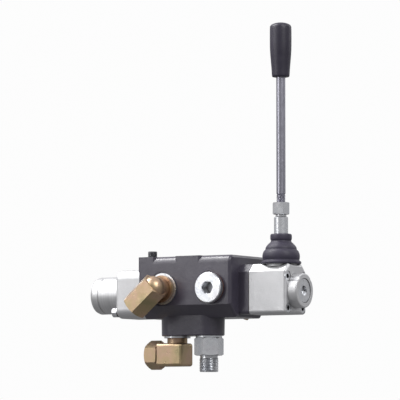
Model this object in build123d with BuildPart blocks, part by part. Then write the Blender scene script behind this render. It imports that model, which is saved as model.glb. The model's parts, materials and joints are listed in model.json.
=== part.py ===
from build123d import *
import os
from math import cos, radians, sin, sqrt, tan

os.makedirs("parts", exist_ok=True)

# Lever-operated hydraulic spool valve of the 40 l/min monoblock size.
# Millimetres, +Z up, +X along the spool towards the lever, -Y is the front with the tank ports.
# The origin is the centre of the cylinder nipple's lower shoulder, where the valve is screwed on.

# ---- driving dimensions ----------------------------------------------------------------------
BODY_LENGTH = 93.0           # standard length of this size of valve body
BODY_DEPTH = 62.0
BODY_TOP = 31.0              # heights are measured from the spool's axis
BODY_UNDERSIDE = -22.0
BOSS_BOTTOM = -37.0          # face of the boss that holds the two work ports
BOSS_R = 13.8                # the boss is rounded about both work ports
NECK_LENGTH = 10.0           # cast neck between the body and the lever housing
NECK_WIDTH = 35.0
NECK_BOTTOM = -19.8
NECK_TOP = 22.9

WORK_PORT_A_X = -20.5        # places along X are measured from the middle of the body
WORK_PORT_B_X = 11.5
WORK_PORT_Y = -8.5           # places along Y are measured from the spool's axis
NIPPLE_LENGTH = 17.0         # from the boss to the cylinder
TANK_PORT_X = -21.0
PLUG_PORT_X = 27.0
INLET_PORT_X = 27.0
SIDE_PORT_Z = 3.0            # front and rear ports, above the spool's axis

G_HALF_R = 10.48             # outer radius of a G1/2 thread
G_THREE_EIGHTHS_R = 8.33     # outer radius of a G3/8 thread
THREAD_DEPTH = 14.0
THREAD_GAP = 0.05
FIT_GAP = 0.03               # radial gap of a sliding or pressed round piece
SEAL_THICKNESS = 1.6
SPOT_R = 15.2                # machined spot faces round the side ports
SPOT_DEPTH = 0.5
WASHER_R = 13.5              # sealing washers of the side ports

HEAD_TO_SHANK = 1.7          # cap screws: radius of the head, width and depth of its socket
SOCKET_TO_SHANK = 1.6
SOCKET_DEPTH_TO_SHANK = 1.1
EDGE_BREAK = 0.5             # small chamfers of the machined pieces
END_CHAMFER = 1.0            # chamfers at the ends of studs and threads

SPOOL_BORE_R = 9.0
SPOOL_R = 8.97
SPOOL_TRAVEL = 6.0
GALLERY_R = 14.0
GALLERY_WIDTH = 8.0
GALLERY_PITCH = 16.0

LEVER_X = 78.4               # lever's axis
PIVOT_Z = 17.5               # pivot pin above the spool's axis: 6 mm of spool for 20 degrees
PIVOT_PIN_R = 3.0
EYE_R = 4.1
BALL_R = 3.9

# ---- frame: the spool's axis and the middle of the body seen from the origin -----------------
CX = -WORK_PORT_B_X
CY = -WORK_PORT_Y
CZ = NIPPLE_LENGTH - BOSS_BOTTOM
HALF = BODY_LENGTH / 2
FRONT = -BODY_DEPTH / 2
REAR = BODY_DEPTH / 2
NECK_END = HALF + NECK_LENGTH
FRONT_SEAT = FRONT + SPOT_DEPTH
REAR_SEAT = REAR - SPOT_DEPTH
SPOOL_AXIS = Axis((CX, CY, CZ), (1, 0, 0))


def point(x, y, z):
    """Row position of a place given from the middle of the body, on the spool's axis."""
    return Vector(CX + x, CY + y, CZ + z)


def level(z):
    """Horizontal plane at a height above the spool's axis: local x is +X, local y is +Y."""
    return Plane(origin=point(0, 0, z))


def across(x):
    """Plane square to the spool: local x is +Y, local y is +Z, and it faces +X."""
    return Plane(origin=point(x, 0, 0), x_dir=(0, 1, 0), z_dir=(1, 0, 0))


def along(y):
    """Upright plane along the spool: local x is +X, local y is +Z, and it faces -Y."""
    return Plane(origin=point(0, y, 0), x_dir=(1, 0, 0), z_dir=(0, -1, 0))


def upright_axis(x, y):
    """Vertical axis through a place on the plan."""
    return Axis(point(x, y, 0), (0, 0, 1))


def turn(plane, outline, axis, mode=Mode.ADD):
    """Revolve a closed outline about an axis that lies in its plane."""
    with BuildSketch(plane) as section:
        with BuildLine():
            Polyline(*outline, close=True)
        make_face()
    revolve(section.sketch, axis=axis, mode=mode)


def turn_upright(x, y, outline, mode=Mode.ADD):
    """Revolve an outline of (radius, height) points about the vertical axis at x, y."""
    turn(along(y), [(x + r, z) for r, z in outline], upright_axis(x, y), mode)


def turn_spool(outline, mode=Mode.ADD):
    """Revolve an outline of (x, radius) points about the spool's axis."""
    turn(along(0), outline, SPOOL_AXIS, mode)


def bore(plane, places, radius, depth):
    """Cut round holes of one depth below a plane."""
    with BuildSketch(plane) as section:
        with Locations(*places):
            Circle(radius)
    extrude(section.sketch, amount=-depth, mode=Mode.SUBTRACT)


def disc(plane, places, radius, height):
    """Add round bars of one height above a plane."""
    with BuildSketch(plane) as section:
        with Locations(*places):
            Circle(radius)
    extrude(section.sketch, amount=height)


def hexagons(plane, places, across_flats, height, mode=Mode.ADD, rotation=0.0):
    """Add or cut hexagonal bars from a plane."""
    with BuildSketch(plane) as section:
        with Locations(*places):
            RegularPolygon(across_flats / 2, 6, major_radius=False, rotation=rotation)
    extrude(section.sketch, amount=height, mode=mode)


def hex_bar(plane, across_flats, height, rotation=0.0):
    """Start a part with a hexagonal bar on a plane's origin, its corners turned down at both ends."""
    flat = across_flats / 2
    corner = flat / cos(radians(30))
    drop = (corner - flat) * tan(radians(30))
    hexagons(plane, [(0, 0)], across_flats, height, rotation=rotation)
    lengthwise = Plane(origin=plane.origin, x_dir=plane.x_dir, z_dir=-plane.y_dir)
    outline = [(0, 0), (flat, 0), (corner, drop), (corner, height - drop), (flat, height), (0, height)]
    turn(lengthwise, outline, Axis(plane.origin, plane.z_dir), Mode.INTERSECT)


def cap_screws(face, places, shank_r, length):
    """Add socket-head cap screws whose heads stand on a face: head sizes follow the shank."""
    head_height = 2 * shank_r
    disc(face, places, shank_r * HEAD_TO_SHANK, head_height)
    disc(face, places, shank_r, -length)
    socket_depth = shank_r * SOCKET_DEPTH_TO_SHANK
    hexagons(face.offset(head_height), places, shank_r * SOCKET_TO_SHANK, -socket_depth, Mode.SUBTRACT)


def coil(start, direction, length, radius, wire_r, turns):
    """Add a coil spring whose wire's centre line runs from start along direction."""
    with BuildLine() as path:
        Helix(pitch=length / turns, height=length, radius=radius, center=start, direction=direction)
    with BuildSketch(Plane(origin=path.line @ 0, z_dir=path.line % 0)) as section:
        Circle(wire_r)
    sweep(section.sketch, path=path.line, is_frenet=True)


def flange_block(start, length, shrink=0.0):
    """Add the block shared by the neck, its gasket and the lever housing: top edges bevelled."""
    with BuildSketch(across(start)) as section:
        with Locations((0, (NECK_TOP + NECK_BOTTOM) / 2)):
            Rectangle(NECK_WIDTH - shrink, NECK_TOP - NECK_BOTTOM - shrink)
        chamfer(section.vertices().group_by(Axis.Y)[-1], HOUSING_BEVEL)
        fillet(section.vertices().group_by(Axis.Y)[0], HOUSING_ROUND)
    extrude(section.sketch, amount=length)


def save(part, name):
    """Label a finished piece and write it as its node's file."""
    part.label = name
    export_step(part, f"parts/{name}.step")


# ---- valve body: casting, bores and cored passages -------------------------------------------
TOP_ROUND = 6.0
EDGE_ROUND = 2.5
LOWER_SLOPE = 11.0           # the front and rear slope in above the boss
PRESSURE_X = (WORK_PORT_A_X + WORK_PORT_B_X) / 2
GALLERIES = [PRESSURE_X + GALLERY_PITCH * n for n in (-2, -1, 0, 1, 2)]
PASSAGE_Y = -21.0            # tank passage behind the front ports, and the relief valve's axis
PASSAGE_R = 4.6
RELIEF_X = -38.0
RELIEF_BORE_R = 5.0
RELIEF_SEAT_Z = -6.0
RELIEF_FEED_Z = -12.0
RELIEF_FEED_R = 2.5
RELIEF_PAD = (16.5, 20.5)    # square-edged corner pad round the relief valve
PAD_HEIGHT = 13.0
PAD_ROUND = 1.5
MARKING_PAD_X = 3.5          # blank square-edged pad in the rounded top edge
MARKING_PAD = (25.0, 9.0)
PORT_DRILL_R = 6.5           # work port below its thread, up to the gallery
PORT_DRILL_TOP = -9.0
LINK_R = 3.4                 # from the tank passage to the end galleries
INLET_FEED_Y = 20.6          # passage from the inlet to the space below the check valve's seat
CHECK_DROP = (-3.5, 12.5)    # passage from the check valve's chamber down to the pressure gallery
CHECK_DROP_R = 3.5
CHECK_DROP_TOP = 20.0
CHECK_DROP_DEPTH = 16.0
BOSS_ROOT = 4.0              # the boss starts this far inside the body
BOSS_DRAFT = 1.0
BOSS_EDGE = 1.0
CHECK_X, CHECK_Y = 0.0, 20.0
CHECK_BORE_R = 7.0
CHECK_SEAT_Z = 12.0
CHECK_SEAT_R = 4.5
CHECK_PLUG_R = 8.0
CHECK_PLUG_Z = 23.0
SEAL_GROOVE_R = 11.2
SEAL_GROOVE_WIDTH = 3.0
SEAL_X = (-HALF + 3.0, HALF + 3.5)
WIPER_X = NECK_END - 2.0
HOUSING_BEVEL = 6.5          # top edges of the neck and of the lever housing
HOUSING_ROUND = 3.0
LEFT_SCREWS = [(15.5, 15.5), (-15.5, -15.5)]
RIGHT_SCREWS = [(-13.0, 12.0), (13.0, 12.0), (-12.3, -14.8), (12.3, -14.8)]
M5_R = 2.5
SCREW_DEPTH = 9.0

with BuildPart() as valve_body:
    with BuildSketch(across(-HALF)):
        with BuildLine():
            Polyline(
                (FRONT, BODY_TOP), (FRONT, BODY_UNDERSIDE + LOWER_SLOPE),
                (FRONT + LOWER_SLOPE, BODY_UNDERSIDE), (REAR - LOWER_SLOPE, BODY_UNDERSIDE),
                (REAR, BODY_UNDERSIDE + LOWER_SLOPE), (REAR, BODY_TOP), close=True,
            )
        make_face()
    extrude(amount=BODY_LENGTH)
    fillet(valve_body.edges().filter_by(Axis.X).group_by(Axis.Z)[-1], TOP_ROUND)
    fillet(valve_body.faces().filter_by(Axis.X).edges(), EDGE_ROUND)
    with BuildSketch(level(BODY_UNDERSIDE + BOSS_ROOT)):
        with Locations((PRESSURE_X, WORK_PORT_Y)):
            SlotCenterToCenter(WORK_PORT_B_X - WORK_PORT_A_X, 2 * BOSS_R)
    extrude(amount=BOSS_BOTTOM - BODY_UNDERSIDE - BOSS_ROOT, taper=BOSS_DRAFT)
    fillet(valve_body.faces().sort_by(Axis.Z)[0].edges(), BOSS_EDGE)
    flange_block(HALF - 1, NECK_LENGTH + 1)
    # corner pad, machined square, that carries the relief valve, and the marking pad beside it
    with BuildSketch(level(BODY_TOP)):
        with Locations((-HALF + RELIEF_PAD[0] / 2, FRONT + RELIEF_PAD[1] / 2)):
            RectangleRounded(*RELIEF_PAD, PAD_ROUND)
        with Locations((MARKING_PAD_X, FRONT + MARKING_PAD[1] / 2)):
            RectangleRounded(*MARKING_PAD, PAD_ROUND)
    extrude(amount=-PAD_HEIGHT)
    # spool bore with its five galleries, and the grooves for the seals and the wiper
    bore(across(NECK_END), [(0, 0)], SPOOL_BORE_R, NECK_END + HALF)
    for x in GALLERIES:
        bore(across(x + GALLERY_WIDTH / 2), [(0, 0)], GALLERY_R, GALLERY_WIDTH)
    for x in SEAL_X:
        bore(across(x + SEAL_GROOVE_WIDTH / 2), [(0, 0)], SEAL_GROOVE_R, SEAL_GROOVE_WIDTH)
    bore(across(NECK_END), [(0, 0)], SEAL_GROOVE_R, NECK_END - WIPER_X)
    # work ports in the boss, up to their galleries
    work_ports = [(WORK_PORT_A_X, WORK_PORT_Y), (WORK_PORT_B_X, WORK_PORT_Y)]
    bore(level(BOSS_BOTTOM + THREAD_DEPTH), work_ports, G_THREE_EIGHTHS_R, THREAD_DEPTH)
    bore(level(PORT_DRILL_TOP), work_ports, PORT_DRILL_R, PORT_DRILL_TOP - BOSS_BOTTOM - 1)
    # two front ports on the tank passage, and the inlet at the rear
    front_ports = [(TANK_PORT_X, SIDE_PORT_Z), (PLUG_PORT_X, SIDE_PORT_Z)]
    bore(along(FRONT), front_ports, SPOT_R, SPOT_DEPTH)
    bore(along(FRONT), front_ports, G_HALF_R, THREAD_DEPTH)
    bore(along(REAR_SEAT), [(INLET_PORT_X, SIDE_PORT_Z)], SPOT_R, SPOT_DEPTH)
    bore(along(REAR - THREAD_DEPTH), [(INLET_PORT_X, SIDE_PORT_Z)], G_HALF_R, THREAD_DEPTH)
    bore(across(GALLERIES[4] + 4), [(PASSAGE_Y, SIDE_PORT_Z)], PASSAGE_R, GALLERIES[4] - GALLERIES[0] + 8)
    for x in (GALLERIES[0], GALLERIES[4]):
        bore(along(PASSAGE_Y), [(x, SIDE_PORT_Z)], LINK_R, -PASSAGE_Y - 10)
    bore(across(INLET_PORT_X), [(INLET_FEED_Y, SIDE_PORT_Z)], LINK_R, INLET_PORT_X - CHECK_X)
    # relief valve: bore from the top, seat shoulder and its feed from the pressure gallery
    bore(level(BODY_TOP), [(RELIEF_X, PASSAGE_Y)], RELIEF_BORE_R, BODY_TOP - RELIEF_SEAT_Z)
    bore(level(RELIEF_SEAT_Z), [(RELIEF_X, PASSAGE_Y)], RELIEF_FEED_R, RELIEF_SEAT_Z - RELIEF_FEED_Z)
    bore(across(PRESSURE_X), [(PASSAGE_Y, RELIEF_FEED_Z)], RELIEF_FEED_R, PRESSURE_X - RELIEF_X)
    bore(along(PASSAGE_Y), [(PRESSURE_X, RELIEF_FEED_Z)], RELIEF_FEED_R, -PASSAGE_Y - 5)
    # load check: seat below, chamber above, and a passage down to the pressure gallery
    bore(level(BODY_TOP), [(CHECK_X, CHECK_Y)], CHECK_PLUG_R, BODY_TOP - CHECK_PLUG_Z)
    bore(level(BODY_TOP), [(CHECK_X, CHECK_Y)], CHECK_BORE_R, BODY_TOP - CHECK_SEAT_Z)
    bore(level(CHECK_SEAT_Z), [(CHECK_X, CHECK_Y)], CHECK_SEAT_R, CHECK_SEAT_Z + 2)
    bore(level(CHECK_DROP_TOP), [CHECK_DROP], CHECK_DROP_R, CHECK_DROP_DEPTH)
    # threaded holes for the two end housings
    bore(across(-HALF + SCREW_DEPTH), LEFT_SCREWS, M5_R, SCREW_DEPTH)
    bore(across(NECK_END), RIGHT_SCREWS, M5_R, SCREW_DEPTH)
save(valve_body.part, "valve_body")

# ---- spool with its seals --------------------------------------------------------------------
SPOOL_LEFT = -54.0
TONGUE_START = 60.0
TONGUE_WIDTH = 14.0
TONGUE_THICKNESS = 7.0
TONGUE_END = 86.0
TONGUE_TIP = 0.5             # flat left at the tip of the rounded tongue, each side
WASTE_R = 5.5                # waisted stretches between the lands
WASTES = [(-40.6, -27.0), (-14.0, 5.0), (18.0, 31.6)]
STUD_R = 4.0
STUD_SOCKET = 10.0
STUD_BOTTOMING = 0.5         # the stud stops short of its socket's end

with BuildPart() as spool:
    disc(across(SPOOL_LEFT), [(0, 0)], SPOOL_R, TONGUE_START - SPOOL_LEFT)
    for start, end in WASTES:
        waste = [(start, WASTE_R), (start, SPOOL_R + 1), (end, SPOOL_R + 1), (end, WASTE_R)]
        turn_spool(waste, Mode.SUBTRACT)
    bore(across(SPOOL_LEFT + STUD_SOCKET), [(0, 0)], STUD_R + FIT_GAP, STUD_SOCKET)
    with BuildSketch(across(TONGUE_START - 2)):
        Rectangle(TONGUE_WIDTH, TONGUE_THICKNESS)
    extrude(amount=TONGUE_END - TONGUE_START + 2)
    fillet(spool.faces().sort_by(Axis.X)[-1].edges().filter_by(Axis.Z), TONGUE_WIDTH / 2 - TONGUE_TIP)
    bore(level(TONGUE_THICKNESS), [(LEVER_X, 0)], EYE_R, 2 * TONGUE_THICKNESS)
save(spool.part, "spool")

SEAL_WIRE_R = 1.05
with BuildPart() as spool_seals:
    for x in SEAL_X:
        with Locations(across(x).location):
            Torus(SEAL_GROOVE_R - SEAL_WIRE_R - FIT_GAP, SEAL_WIRE_R)
save(spool_seals.part, "spool_seals")

WIPER_GAP = 0.1
WIPER_LIP = 0.5              # the wiper narrows to its lip by this much
with BuildPart() as spool_wiper:
    turn_spool([
        (WIPER_X + WIPER_GAP, SPOOL_BORE_R + WIPER_GAP), (WIPER_X + WIPER_GAP, SEAL_GROOVE_R - FIT_GAP),
        (NECK_END - WIPER_GAP, SEAL_GROOVE_R - FIT_GAP),
        (NECK_END - WIPER_GAP, SPOOL_BORE_R + WIPER_GAP + WIPER_LIP),
    ])
save(spool_wiper.part, "spool_wiper")

# ---- left end: centring springs, detent and their covers -------------------------------------
HOUSING_SIZE = 42.0
HOUSING_LENGTH = 30.0
HOUSING_END = -HALF - HOUSING_LENGTH
HOUSING_BORE_R = 13.4
CAP_END = -107.1
CAP_R = 16.3
CAP_BORE_R = 12.6
CAP_WALL = 3.6
CAP_SPIGOT = 7.0             # the cap screws into the spring housing by this much
CAP_EDGE = 3.0
CAP_GROOVE_X = -98.0         # turned groove near the cap's end
HOUSING_CORNER = 8.0
HOUSING_EDGE = 2.5
SCREW_HOLE_R = 2.8
GASKET = 0.6
COLLAR_X = -66.0
COLLAR_R = 11.5
COLLAR_HALF = 2.0
SPRING_SPACE = 15.0
DETENT_START = -84.0
DETENT_END = -102.0
DETENT_R = 6.6
BALL_PLANE_X = -92.5
DETENT_BALL_R = 2.0
STUD_HEAD_R = 6.4
STUD_HEAD = (-86.5, -97.0)
DETENT_GROOVE_X = BALL_PLANE_X - SPOOL_TRAVEL
DETENT_GROOVE = (1.6, 1.2)   # half width and depth

with BuildPart() as housing_gasket:
    with BuildSketch(across(-HALF - GASKET)):
        RectangleRounded(HOUSING_SIZE - 1, HOUSING_SIZE - 1, HOUSING_CORNER - 1)
        Circle(HOUSING_BORE_R, mode=Mode.SUBTRACT)
        with Locations(*LEFT_SCREWS):
            Circle(SCREW_HOLE_R, mode=Mode.SUBTRACT)
    extrude(amount=GASKET)
save(housing_gasket.part, "spring_housing_gasket")

with BuildPart() as spring_housing:
    with BuildSketch(across(HOUSING_END)):
        RectangleRounded(HOUSING_SIZE, HOUSING_SIZE, HOUSING_CORNER)
    extrude(amount=HOUSING_LENGTH - GASKET)
    fillet(spring_housing.faces().sort_by(Axis.X)[0].edges(), HOUSING_EDGE)
    bore(across(-HALF), [(0, 0)], HOUSING_BORE_R, HOUSING_LENGTH)
    bore(across(-HALF), LEFT_SCREWS, SCREW_HOLE_R, HOUSING_LENGTH)
save(spring_housing.part, "spring_housing")

with BuildPart() as spring_housing_screws:
    screw_face = Plane(origin=point(HOUSING_END, 0, 0), x_dir=(0, -1, 0), z_dir=(-1, 0, 0))
    mirrored = [(-y, z) for y, z in LEFT_SCREWS]
    cap_screws(screw_face, mirrored, M5_R - THREAD_GAP, HOUSING_LENGTH + SCREW_DEPTH - 1)
save(spring_housing_screws.part, "spring_housing_screws")

with BuildPart() as detent_cap:
    turn_spool([
        (HOUSING_END + CAP_SPIGOT, CAP_BORE_R), (HOUSING_END + CAP_SPIGOT, HOUSING_BORE_R - THREAD_GAP),
        (HOUSING_END, HOUSING_BORE_R - THREAD_GAP), (HOUSING_END, CAP_R - 0.8),
        (HOUSING_END - 0.8, CAP_R), (CAP_GROOVE_X + 1.0, CAP_R), (CAP_GROOVE_X + 0.6, CAP_R - 0.7),
        (CAP_GROOVE_X - 0.6, CAP_R - 0.7), (CAP_GROOVE_X - 1.0, CAP_R), (CAP_END + CAP_EDGE, CAP_R),
        (CAP_END + CAP_EDGE * 0.3, CAP_R - CAP_EDGE * 0.3), (CAP_END, CAP_R - CAP_EDGE), (CAP_END, 0),
        (CAP_END + CAP_WALL, 0), (CAP_END + CAP_WALL, CAP_BORE_R),
    ])
save(detent_cap.part, "detent_cap")

with BuildPart() as detent_ring:
    turn_spool([
        (DETENT_START, DETENT_R), (DETENT_START, CAP_BORE_R - FIT_GAP), (DETENT_END, CAP_BORE_R - FIT_GAP),
        (DETENT_END, DETENT_R), (DETENT_GROOVE_X - DETENT_GROOVE[0], DETENT_R),
        (DETENT_GROOVE_X, DETENT_R + DETENT_GROOVE[1]), (DETENT_GROOVE_X + DETENT_GROOVE[0], DETENT_R),
    ])
save(detent_ring.part, "detent_ring")

with BuildPart() as spool_stud:
    stud_end = SPOOL_LEFT + STUD_SOCKET - STUD_BOTTOMING
    disc(across(STUD_HEAD[0]), [(0, 0)], STUD_R, stud_end - STUD_HEAD[0])
    disc(across(STUD_HEAD[1]), [(0, 0)], STUD_HEAD_R, STUD_HEAD[0] - STUD_HEAD[1])
    chamfer(spool_stud.faces().sort_by(Axis.X)[0].edges(), END_CHAMFER)
    bore(along(-STUD_HEAD_R - 1), [(BALL_PLANE_X, 0)], DETENT_BALL_R + THREAD_GAP, 2 * STUD_HEAD_R + 2)
save(spool_stud.part, "spool_stud")

with BuildPart() as detent_balls:
    for side in (-1, 1):
        with Locations(point(BALL_PLANE_X, side * (DETENT_R - THREAD_GAP - DETENT_BALL_R), 0)):
            Sphere(DETENT_BALL_R)
save(detent_balls.part, "detent_balls")

DETENT_SPRING = 4.3
DETENT_COIL_R = 1.4
DETENT_WIRE_R = 0.3
DETENT_TURNS = 4
with BuildPart() as detent_spring:
    coil(point(BALL_PLANE_X, -DETENT_SPRING / 2, 0), (0, 1, 0), DETENT_SPRING, DETENT_COIL_R,
         DETENT_WIRE_R, DETENT_TURNS)
save(detent_spring.part, "detent_spring")

with BuildPart() as spring_collar:
    turn_spool([
        (COLLAR_X - COLLAR_HALF, STUD_R + FIT_GAP), (COLLAR_X - COLLAR_HALF, COLLAR_R),
        (COLLAR_X + COLLAR_HALF, COLLAR_R), (COLLAR_X + COLLAR_HALF, STUD_R + FIT_GAP),
    ])
save(spring_collar.part, "spring_collar")

with BuildPart() as spring_washer:
    turn_spool([
        (COLLAR_X + COLLAR_HALF + SPRING_SPACE, SPOOL_R + 0.4),
        (COLLAR_X + COLLAR_HALF + SPRING_SPACE, HOUSING_BORE_R - 0.1),
        (-HALF - GASKET, HOUSING_BORE_R - 0.1), (-HALF - GASKET, SPOOL_R + 0.4),
    ])
save(spring_washer.part, "centering_spring_washer")

CENTERING_WIRE_R = 0.9
CENTERING_COIL_R = 10.3
CENTERING_TURNS = 4
SPRING_CLEARANCE = (0.1, 0.9)
spring_starts = {
    "centering_spring_inner": COLLAR_X + COLLAR_HALF + CENTERING_WIRE_R + SPRING_CLEARANCE[0],
    "centering_spring_outer": COLLAR_X - COLLAR_HALF - SPRING_SPACE + CENTERING_WIRE_R + SPRING_CLEARANCE[1],
}
for name, start_x in spring_starts.items():
    with BuildPart() as centering_spring:
        free_length = SPRING_SPACE - 2 * CENTERING_WIRE_R - sum(SPRING_CLEARANCE)
        coil(point(start_x, 0, 0), (1, 0, 0), free_length, CENTERING_COIL_R, CENTERING_WIRE_R,
             CENTERING_TURNS)
    save(centering_spring.part, name)

# ---- right end: lever housing, pivot and lever -----------------------------------------------
LEVER_HOUSING_END = 93.0
SPIGOT_R = 14.0
SPIGOT_TOP = 26.9
BOSS_END = 101.5
END_BOSS_R = 14.75
END_BORE_R = 10.5
END_BOSS_ROUND = 1.2
CAVITY_HALF_WIDTH = 9.6
CAVITY_BOTTOM = -10.0
CAVITY_END = 89.5
SLOT_HALF_WIDTH = 7.6
SLOT_HALF_LENGTH = 11.2
SLOT_CORNER = 3.0
HEAD_RECESS = 5.5
PIN_HALF_LENGTH = 12.4

with BuildPart() as lever_gasket:
    flange_block(NECK_END, GASKET, 0.6)
    bore(across(NECK_END + GASKET), [(0, 0)], SEAL_GROOVE_R, GASKET)
    bore(across(NECK_END + GASKET), RIGHT_SCREWS, SCREW_HOLE_R, GASKET)
save(lever_gasket.part, "lever_housing_gasket")

with BuildPart() as lever_housing:
    flange_block(NECK_END + GASKET, LEVER_HOUSING_END - NECK_END - GASKET)
    fillet(lever_housing.faces().sort_by(Axis.X)[-1].edges(), HOUSING_EDGE)
    disc(across(LEVER_HOUSING_END - 4), [(0, 0)], END_BOSS_R, BOSS_END - LEVER_HOUSING_END + 4)
    fillet(lever_housing.faces().sort_by(Axis.X)[-1].edges(), END_BOSS_ROUND)
    disc(level(NECK_TOP - 2), [(LEVER_X, 0)], SPIGOT_R, SPIGOT_TOP - NECK_TOP + 2)
    # cavity for the spool's tongue, open to the neck and to the end boss
    bore(across(BOSS_END), [(0, 0)], END_BORE_R, BOSS_END - LEVER_X)
    with BuildSketch(across(NECK_END)):
        RectangleRounded(2 * CAVITY_HALF_WIDTH, -2 * CAVITY_BOTTOM, SLOT_CORNER)
    extrude(amount=CAVITY_END - NECK_END, mode=Mode.SUBTRACT)
    # slot for the lever, through the top
    with BuildSketch(level(SPIGOT_TOP)):
        with Locations((LEVER_X, 0)):
            RectangleRounded(2 * SLOT_HALF_LENGTH, 2 * SLOT_HALF_WIDTH, SLOT_CORNER)
    extrude(amount=-SPIGOT_TOP, mode=Mode.SUBTRACT)
    bore(along(-PIN_HALF_LENGTH), [(LEVER_X, PIVOT_Z)], PIVOT_PIN_R + FIT_GAP, NECK_WIDTH)
    bore(across(LEVER_HOUSING_END), RIGHT_SCREWS, SCREW_HOLE_R, LEVER_HOUSING_END - NECK_END)
    recess_r = M5_R * HEAD_TO_SHANK + 0.1
    bore(across(BOSS_END), RIGHT_SCREWS, recess_r, BOSS_END - LEVER_HOUSING_END + HEAD_RECESS)
save(lever_housing.part, "lever_housing")

with BuildPart() as lever_housing_screws:
    cap_screws(across(LEVER_HOUSING_END - HEAD_RECESS), RIGHT_SCREWS, M5_R - THREAD_GAP,
               LEVER_HOUSING_END - HEAD_RECESS - NECK_END + SCREW_DEPTH - 1)
save(lever_housing_screws.part, "lever_housing_screws")

END_PLUG = 4.0
END_PLUG_SUNK = 0.6
END_PLUG_SOCKET = 8.0
END_PLUG_SOCKET_DEPTH = 2.5
with BuildPart() as end_plug:
    plug_face = across(BOSS_END - END_PLUG_SUNK)
    disc(plug_face, [(0, 0)], END_BORE_R - FIT_GAP, -END_PLUG)
    hexagons(plug_face, [(0, 0)], END_PLUG_SOCKET, -END_PLUG_SOCKET_DEPTH, Mode.SUBTRACT)
    chamfer(end_plug.faces().sort_by(Axis.X)[-1].outer_wire().edges(), EDGE_BREAK)
save(end_plug.part, "lever_housing_plug")

with BuildPart() as pivot_pin:
    disc(along(-PIN_HALF_LENGTH), [(LEVER_X, PIVOT_Z)], PIVOT_PIN_R, -2 * PIN_HALF_LENGTH)
    chamfer(pivot_pin.edges(), EDGE_BREAK)
save(pivot_pin.part, "pivot_pin")

TIP_R = 2.3                  # below the pivot the stub narrows to its ball
SHANK_R = 3.6
STUB_R = 6.0
STUB_TOP = 63.4
STUB_SPIGOT_TOP = 65.4
STUB_SPIGOT_R = 4.6
HUB_R = 7.3
ROD_R = 3.9
ROD_BOTTOM = 50.0
NUT_TOP = 75.6
NUT_ACROSS_FLATS = 13.0
NUT_TURN = 12.0              # degrees the nut was left turned by when tightened
GRIP_BOTTOM = 183.0
GRIP_TOP = 230.0
GRIP_R = 9.3
GRIP_DOME = 3.4              # height of the domed top
GRIP_FOOT_R = 7.6
GRIP_TAPER = 24.0            # the grip widens over this height
ROD_TOP = GRIP_BOTTOM + 26.0
ROD_END_GAP = 0.3

with BuildPart() as lever_stub:
    turn_upright(LEVER_X, 0, [
        (0, -BALL_R + 0.3), (TIP_R, -BALL_R + 0.3), (TIP_R, BALL_R), (SHANK_R, 2 * BALL_R),
        (SHANK_R, PIVOT_Z), (STUB_R, PIVOT_Z), (STUB_R, STUB_TOP - 0.8), (STUB_R - 0.8, STUB_TOP),
        (STUB_SPIGOT_R, STUB_TOP), (STUB_SPIGOT_R, STUB_SPIGOT_TOP), (0, STUB_SPIGOT_TOP),
    ])
    with Locations(point(LEVER_X, 0, 0)):
        Sphere(BALL_R)
    with Locations(point(LEVER_X, 0, PIVOT_Z)):
        Sphere(HUB_R)
    bore(along(-HUB_R - 1), [(LEVER_X, PIVOT_Z)], PIVOT_PIN_R + THREAD_GAP, 2 * HUB_R + 2)
    bore(level(STUB_SPIGOT_TOP), [(LEVER_X, 0)], ROD_R + FIT_GAP, STUB_SPIGOT_TOP - ROD_BOTTOM)
save(lever_stub.part, "lever_stub")

with BuildPart() as lever_rod:
    disc(level(ROD_TOP), [(LEVER_X, 0)], ROD_R, ROD_BOTTOM + 0.5 - ROD_TOP)
    chamfer(lever_rod.edges(), EDGE_BREAK)
save(lever_rod.part, "lever_rod")

with BuildPart() as lock_nut:
    nut_bottom = Plane(origin=point(LEVER_X, 0, STUB_SPIGOT_TOP))
    hex_bar(nut_bottom, NUT_ACROSS_FLATS, NUT_TOP - STUB_SPIGOT_TOP, rotation=NUT_TURN)
    bore(level(NUT_TOP), [(LEVER_X, 0)], ROD_R + FIT_GAP, NUT_TOP - STUB_SPIGOT_TOP)
save(lock_nut.part, "lever_lock_nut")

dome_radius = (GRIP_R**2 + GRIP_DOME**2) / (2 * GRIP_DOME)
dome_middle = GRIP_TOP - dome_radius + sqrt(dome_radius**2 - GRIP_R**2 / 4)
with BuildPart() as grip:
    with BuildSketch(along(0)):
        with BuildLine():
            bore_x = LEVER_X + ROD_R + FIT_GAP
            side = LEVER_X + GRIP_R
            Polyline(
                (bore_x, GRIP_BOTTOM), (LEVER_X + GRIP_FOOT_R - 1, GRIP_BOTTOM),
                (LEVER_X + GRIP_FOOT_R, GRIP_BOTTOM + 1), (side, GRIP_BOTTOM + GRIP_TAPER),
                (side, GRIP_TOP - GRIP_DOME),
            )
            ThreePointArc((side, GRIP_TOP - GRIP_DOME), (LEVER_X + GRIP_R / 2, dome_middle),
                          (LEVER_X, GRIP_TOP))
            Polyline((LEVER_X, GRIP_TOP), (LEVER_X, ROD_TOP + ROD_END_GAP), (bore_x, ROD_TOP + ROD_END_GAP),
                     (bore_x, GRIP_BOTTOM))
        make_face()
    revolve(axis=upright_axis(LEVER_X, 0))
save(grip.part, "lever_grip")

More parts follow.
